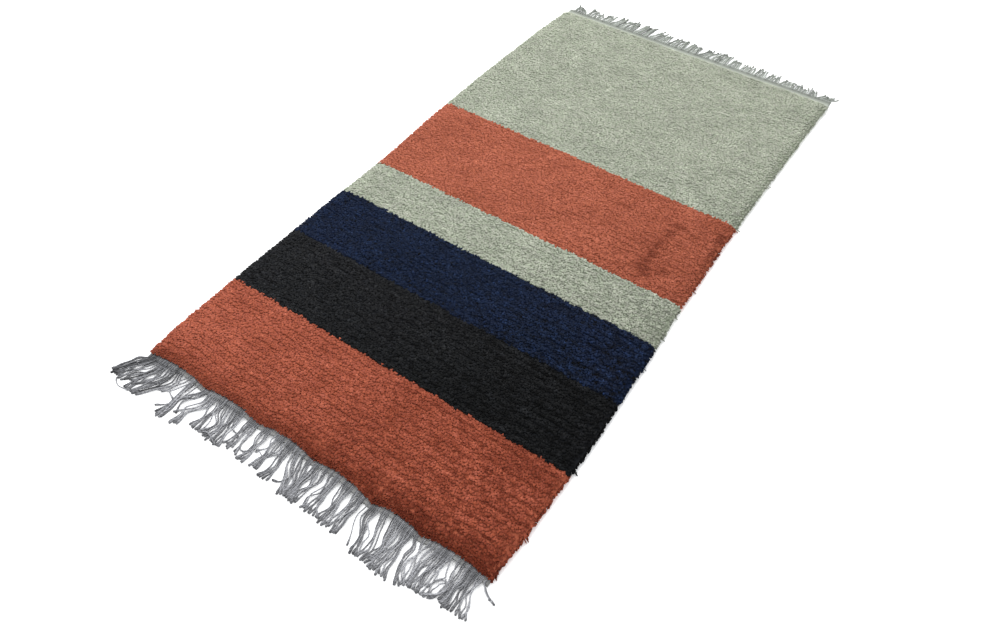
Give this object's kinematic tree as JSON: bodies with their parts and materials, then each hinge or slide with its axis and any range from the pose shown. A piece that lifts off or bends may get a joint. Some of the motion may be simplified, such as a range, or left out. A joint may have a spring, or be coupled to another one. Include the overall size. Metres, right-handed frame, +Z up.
{
  "type": "nepalese rug",
  "caption": "Flat hand-knotted wool pile rug with broad colour stripes across it, a woven cotton band at each end and loose cotton fringe.",
  "frame": {"origin": "on the floor, under the middle of the rug", "axes": "+X to the right and +Y to the far end as seen from the near, rippled end, +Z up"},
  "size_m": [0.7511, 1.5559, 0.021],
  "materials": {
    "wool_pile": "matt cut wool pile in sage, rust, navy and black stripes",
    "cotton_warp": "matt twisted grey cotton"
  },
  "bodies": {
    "root": {"pile_field": "wool_pile", "near_fringe": "cotton_warp", "far_fringe": "cotton_warp"}
  },
  "joints": []
}
